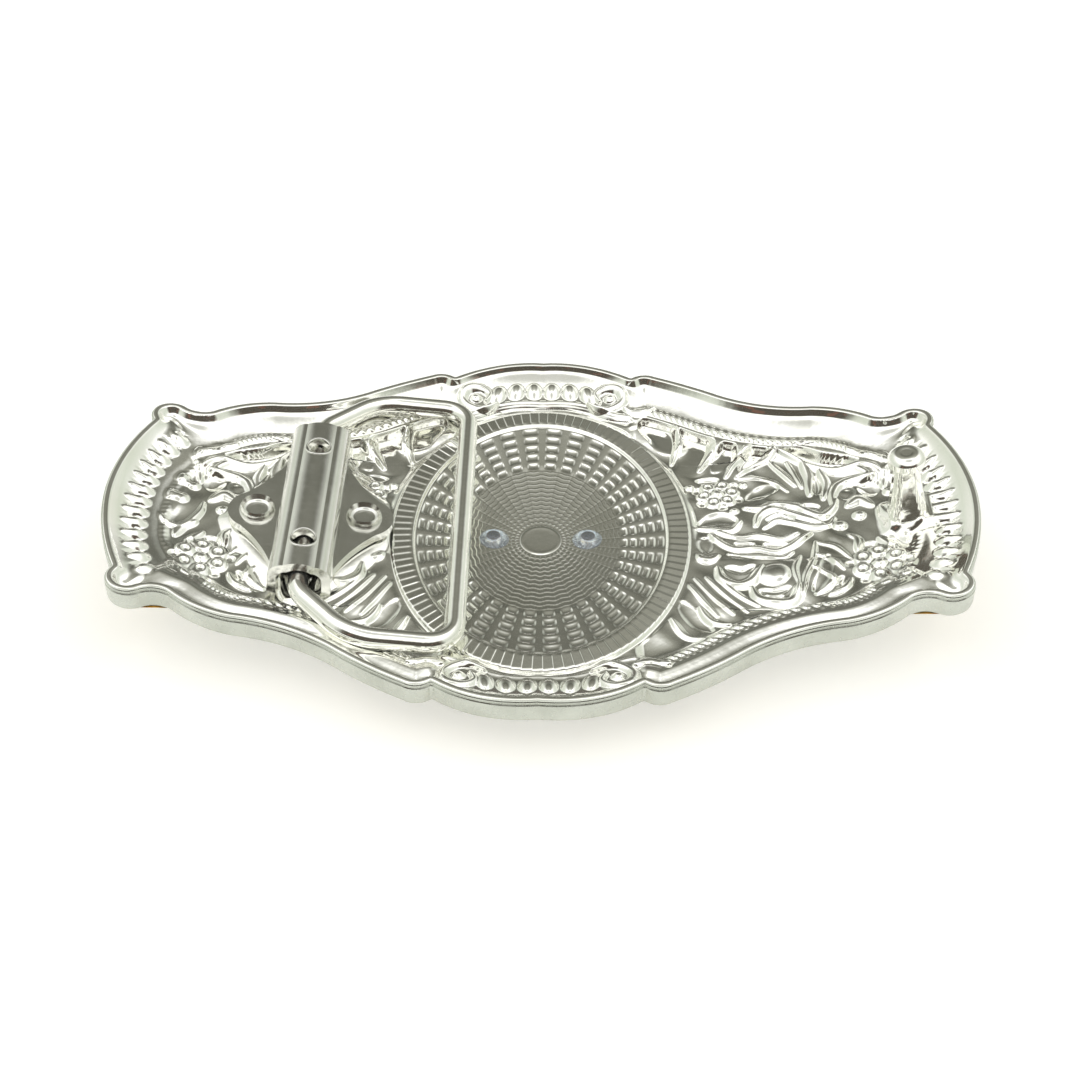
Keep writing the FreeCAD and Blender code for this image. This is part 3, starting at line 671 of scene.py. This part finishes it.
def build_plate():
    line, inward, length = outline()
    step = length / AROUND
    angle = np.arctan2(line[:, 1] / HALF_WIDTH, line[:, 0] / HALF_LENGTH)
    turn = ellipse_turn(angle, DISH_A, DISH_B)
    ring_turn = ellipse_turn(angle, RING_A, RING_B)
    inner_edge = line + inward * RIM_SECTION[0][0]
    front_edge = line + inward * RIM_SECTION[-1][0]
    back = np.concatenate([
        dish_rings(angle, turn, DISH_ROWS),
        ring_rings(angle, ring_turn, RING_ROWS),
        panel_rings(inner_edge, angle, line, step, PANEL_ROWS),
    ])
    wall = rim_rings(line, inward)
    front = np.concatenate([
        panel_rings(front_edge, angle, line, step, FRONT_ROWS, front=True),
        front_medallion(angle, FRONT_DISH_ROWS),
    ])
    # Per row: bright nickel, the wall's nickel darkened as painted shade, gold tone, bright nickel.
    kinds = np.repeat([0, 1, 2, 0], [
        len(back) + BRIGHT_WALL_ROWS,
        len(wall) - BRIGHT_WALL_ROWS - GOLD_WALL_ROWS,
        GOLD_WALL_ROWS + GOLD_ROWS,
        len(front) - GOLD_ROWS,
    ])
    plate = grid_object("plate_cast", np.concatenate([back, wall, front]), kinds)
    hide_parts("buckle_plate")
    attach(plate, "plate")
    return plate


# ---------------------------------------------------------------------------
# Materials
# ---------------------------------------------------------------------------
METALLIC = 0.955            # the rest answers for the haze on worn plating


def new_material(name):
    material = bpy.data.materials.new(name)
    material.use_nodes = True
    tree = material.node_tree
    return material, tree, tree.nodes["Principled BSDF"]


def noise(tree, scale, detail):
    coords = tree.nodes.new("ShaderNodeTexCoord")
    node = tree.nodes.new("ShaderNodeTexNoise")
    node.inputs["Scale"].default_value = scale
    node.inputs["Detail"].default_value = detail
    tree.links.new(coords.outputs["Object"], node.inputs["Vector"])
    return node.outputs["Fac"]


def ramp(tree, value, stops):
    node = tree.nodes.new("ShaderNodeValToRGB")
    elements = node.color_ramp.elements
    while len(elements) < len(stops):
        elements.new(0.5)
    for element, (place, colour) in zip(elements, stops):
        element.position = place
        element.color = (*colour, 1)
    tree.links.new(value, node.inputs["Fac"])
    return node.outputs["Color"]


def bump(tree, shader, value, strength, distance):
    node = tree.nodes.new("ShaderNodeBump")
    node.inputs["Strength"].default_value = strength
    node.inputs["Distance"].default_value = distance
    tree.links.new(value, node.inputs["Height"])
    tree.links.new(node.outputs["Normal"], shader.inputs["Normal"])


def scratches(tree, turn, density):
    """Fine hairlines in one direction: how much each point is scratched."""
    coords = tree.nodes.new("ShaderNodeTexCoord")
    mapping = tree.nodes.new("ShaderNodeMapping")
    mapping.inputs["Rotation"].default_value = (0, 0, math.radians(turn))
    mapping.inputs["Scale"].default_value = (1, 9, 1)
    tree.links.new(coords.outputs["Object"], mapping.inputs["Vector"])
    lines = tree.nodes.new("ShaderNodeTexNoise")
    lines.inputs["Scale"].default_value = density
    lines.inputs["Detail"].default_value = 3
    tree.links.new(mapping.outputs["Vector"], lines.inputs["Vector"])
    return ramp(tree, lines.outputs["Fac"], [(0.64, (0, 0, 0)), (0.70, (1, 1, 1))])


def worn_steel(name, light, dark, rough):
    """Plated steel with the hairlines of handling along and across it."""
    material, tree, shader = plated_nodes(name, light, dark, rough)
    lines = Nodes(tree).math("ADD", scratches(tree, 64, 260.0), scratches(tree, -31, 190.0))
    bump(tree, shader, lines, 0.14, 0.00002)
    return material


def plated(name, light, dark, rough):
    """Bright plating with the casting's faint unevenness under it."""
    material, tree, shader = plated_nodes(name, light, dark, rough)
    bump(tree, shader, noise(tree, 700.0, 2.0), 0.35, 0.00006)
    return material


def plated_nodes(name, light, dark, rough):
    """Bright plating's slightly uneven colour and polish."""
    material, tree, shader = new_material(name)
    shader.inputs["Metallic"].default_value = METALLIC
    colour = ramp(tree, noise(tree, 160.0, 4.0), [(0.3, dark), (0.62, light)])
    tree.links.new(colour, shader.inputs["Base Color"])
    polish = ramp(tree, noise(tree, 900.0, 2.0), [(0.3, (rough * 0.6,) * 3), (0.75, (rough * 1.5,) * 3)])
    tree.links.new(polish, shader.inputs["Roughness"])
    return material, tree, shader


def paint(obj, *materials):
    """Give an object its materials; clearing the old ones forgets which face has which, so that is kept."""
    kinds = [face.material_index for face in obj.data.polygons]
    obj.data.materials.clear()
    for material in materials:
        obj.data.materials.append(material)
    if len(materials) > 1:
        obj.data.polygons.foreach_set("material_index", kinds)


# ---------------------------------------------------------------------------
# Studio
# ---------------------------------------------------------------------------
LENS, SENSOR = 61.09, 36.0
VIEW_PLACE = (1.638, -169.142, 145.670)
VIEW_RIGHT = (0.999939, 0.0110205, 0.0010328)
VIEW_UP = (-0.0078750, 0.642740, 0.766044)
VIEW_FORWARD = (-0.0077783, 0.766005, -0.642788)
FLOOR_HALF, FLOOR_Z = 1.5, -0.00003     # in metres; just under the emblem's face


def camera():
    """The viewpoint: from the near side, 40 degrees up."""
    data = bpy.data.cameras.new("view")
    data.lens = LENS
    data.sensor_width = SENSOR
    data.clip_start = 0.01
    obj = bpy.data.objects.new("view", data)
    bpy.context.collection.objects.link(obj)
    turn = Matrix((Vector(VIEW_RIGHT), Vector(VIEW_UP), -Vector(VIEW_FORWARD))).transposed().to_4x4()
    obj.matrix_world = Matrix.Translation(Vector(VIEW_PLACE) * MM) @ turn
    bpy.context.scene.camera = obj


class Nodes:
    """Arithmetic on shader values, one node for each step."""

    def __init__(self, tree):
        self.tree = tree

    def math(self, operation, a, b=None):
        node = self.tree.nodes.new("ShaderNodeMath")
        node.operation = operation
        for socket, value in zip(node.inputs, (a, b)):
            if value is None:
                continue
            if isinstance(value, (int, float)):
                socket.default_value = value
            else:
                self.tree.links.new(value, socket)
        return node.outputs[0]

    def step(self, value, low, high):
        node = self.tree.nodes.new("ShaderNodeMapRange")
        node.interpolation_type = "SMOOTHSTEP"
        self.tree.links.new(value, node.inputs["Value"])
        node.inputs["From Min"].default_value = low
        node.inputs["From Max"].default_value = high
        return node.outputs[0]

    def mix(self, amount, a, b):
        node = self.tree.nodes.new("ShaderNodeMix")
        node.data_type = "RGBA"
        self.tree.links.new(amount, node.inputs["Factor"])
        for socket, value in ((node.inputs["A"], a), (node.inputs["B"], b)):
            if isinstance(value, tuple):
                socket.default_value = (*value, 1)
            else:
                self.tree.links.new(value, socket)
        return node.outputs["Result"]


def world():
    """A white tent: grey backdrop beyond the buckle, dark room low before it, dim panel overhead."""
    data = bpy.data.worlds.new("studio")
    data.use_nodes = True
    bpy.context.scene.world = data
    tree = data.node_tree
    n = Nodes(tree)
    coords = tree.nodes.new("ShaderNodeTexCoord")
    parts = tree.nodes.new("ShaderNodeSeparateXYZ")
    tree.links.new(coords.outputs["Generated"], parts.inputs[0])
    x, y, z = parts.outputs
    level = n.math("SQRT", n.math("ADD", n.math("MULTIPLY", x, x), n.math("MULTIPLY", y, y)))
    toward = n.math("DIVIDE", y, n.math("MAXIMUM", level, 0.0001))
    spread = n.math("ADD", toward, n.math("MULTIPLY", n.math("MAXIMUM", z, 0.35), 0.3))
    patches = tree.nodes.new("ShaderNodeTexNoise")
    patches.inputs["Scale"].default_value = 4.5
    tree.links.new(coords.outputs["Generated"], patches.inputs["Vector"])
    red = n.step(patches.outputs["Fac"], 0.60, 0.66)
    room = n.mix(red, (0.075, 0.065, 0.05), (0.17, 0.085, 0.06))
    backdrop = ramp(tree, z, [
        (0.0, (0.045, 0.032, 0.024)), (0.14, (0.06, 0.045, 0.034)), (0.26, (0.075, 0.075, 0.058)),
        (0.46, (0.1, 0.1, 0.08)), (0.58, (0.165, 0.165, 0.135)), (0.66, (0.21, 0.21, 0.175)),
        (0.76, (0.30, 0.30, 0.255)), (0.86, (0.52, 0.52, 0.47)), (0.93, (1.0, 1.0, 0.97)),
    ])
    tent = ramp(tree, z, [
        (0.0, (0.9, 0.9, 0.84)), (0.3, (0.72, 0.76, 0.66)), (0.5, (0.85, 0.87, 0.8)),
        (0.75, (1.0, 1.0, 0.97)),
    ])
    lit = n.mix(n.step(z, 0.5, 0.9), tent, (1.5, 1.5, 1.46))
    back = n.math("MULTIPLY", n.step(spread, 0.96, 1.14), n.step(z, 0.95, 0.89))
    front = n.math("MULTIPLY", n.step(toward, -0.45, -0.72), n.step(z, 0.74, 0.60))
    sky = n.mix(back, lit, backdrop)
    sky = n.mix(front, sky, room)
    sky = n.mix(n.step(z, 0.955, 0.997), sky, (0.66, 0.66, 0.62))
    tree.links.new(sky, tree.nodes["Background"].inputs["Color"])


def floor():
    corners = [(i * FLOOR_HALF, k * FLOOR_HALF, FLOOR_Z) for i, k in ((-1, -1), (1, -1), (1, 1), (-1, 1))]
    obj = new_object("floor", corners, [(0, 1, 2, 3)], smooth=False)
    material, tree, shader = new_material("floor")
    shader.inputs["Base Color"].default_value = (0.93, 0.93, 0.92, 1)
    shader.inputs["Roughness"].default_value = 0.9
    shader.inputs["Emission Color"].default_value = (1, 1, 1, 1)
    shader.inputs["Emission Strength"].default_value = 0.28
    paint(obj, material)


def clear_material():
    """The two adhesive drops: clear, with a faint blue."""
    material, tree, shader = new_material("clear_adhesive")
    shader.inputs["Base Color"].default_value = (0.82, 0.88, 0.94, 1)
    shader.inputs["Transmission Weight"].default_value = 0.82
    shader.inputs["IOR"].default_value = 1.5
    haze = ramp(tree, noise(tree, 1400.0, 2.0), [(0.35, (0.02, 0.02, 0.02)), (0.7, (0.08, 0.08, 0.08))])
    tree.links.new(haze, shader.inputs["Roughness"])
    return material


def bevel(obj, width):
    """Break a CAD piece's sharp edges."""
    modifier = obj.modifiers.new("edges", "BEVEL")
    modifier.width = width * MM
    modifier.segments = 3
    modifier.limit_method = "ANGLE"
    modifier.angle_limit = math.radians(38)


def from_bracket(x, y, z):
    """A point of the bracket's own frame, where z = 0 is the ears' top face, in the buckle's frame."""
    turn = math.atan(EAR_SLOPE)
    return np.stack([EAR_X + x * math.cos(turn) + z * math.sin(turn), y + 0 * x,
                     EAR_UNDER_Z + SHEET - x * math.sin(turn) + z * math.cos(turn)], -1)


def stake_rims():
    """The raised lips that the punch left round the channel's two holes."""
    around = np.linspace(0, 2 * math.pi, 64, endpoint=False)
    section = np.linspace(0, 2 * math.pi, 12, endpoint=False)
    for name, side in (("stake_rim_near", -1), ("stake_rim_far", 1)):
        a, b = np.meshgrid(around, section, indexing="ij")
        reach = STAKE_RADIUS + STAKE_LIP * np.cos(b)
        x, y = reach * np.cos(a), side * STAKE_Y + reach * np.sin(a)
        z = CHANNEL_TOP - CHANNEL_ARCH * (x / CHANNEL_HALF) ** 2 + STAKE_LIP * 0.7 * np.sin(b)
        points = from_bracket(x, y, z).reshape(-1, 3) * MM
        rows, count = len(around), len(section)
        faces = []
        for i in range(rows):
            here, ahead = i * count, (i + 1) % rows * count
            for k in range(count):
                m = (k + 1) % count
                faces.append((here + k, ahead + k, ahead + m, here + m))
        rim = new_object(name, points, faces)
        paint(rim, STEEL)
        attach(rim, "plate")


NICKEL = plated("bright_nickel", (0.95, 0.95, 0.91), (0.88, 0.88, 0.82), 0.07)
# The rim's outer wall: rougher nickel whose colour is darkened as painted shade, standing in for the dimmer
# floor it reflects beside the buckle.
WALL_NICKEL_PAINTED_SHADE = plated("rim_wall_nickel_painted_shade", (0.62, 0.64, 0.58), (0.50, 0.52, 0.46), 0.26)
STEEL = worn_steel("bracket_steel", (0.80, 0.80, 0.76), (0.70, 0.70, 0.66), 0.16)
CLEAR = clear_material()
GOLD = plated("gold_tone", (0.93, 0.76, 0.42), (0.86, 0.66, 0.33), 0.09)

plate_piece = build_plate()
paint(plate_piece, NICKEL, WALL_NICKEL_PAINTED_SHADE, GOLD)

CAD_FINISH = {
    "hinge_bracket": (STEEL, 0.16), "front_emblem": (GOLD, 0.2), "belt_hook": (NICKEL, 0.25),
    "rivet_left": (STEEL, 0), "rivet_right": (STEEL, 0), "bail": (NICKEL, 0),
    "adhesive_drop_left": (CLEAR, 0), "adhesive_drop_right": (CLEAR, 0),
}
for name, (material, edge) in CAD_FINISH.items():
    piece = frame["nodes"][name]
    paint(piece, material)
    if edge:
        bevel(piece, edge)
stake_rims()

floor()
world()
camera()
bpy.context.scene.view_settings.view_transform = "Standard"
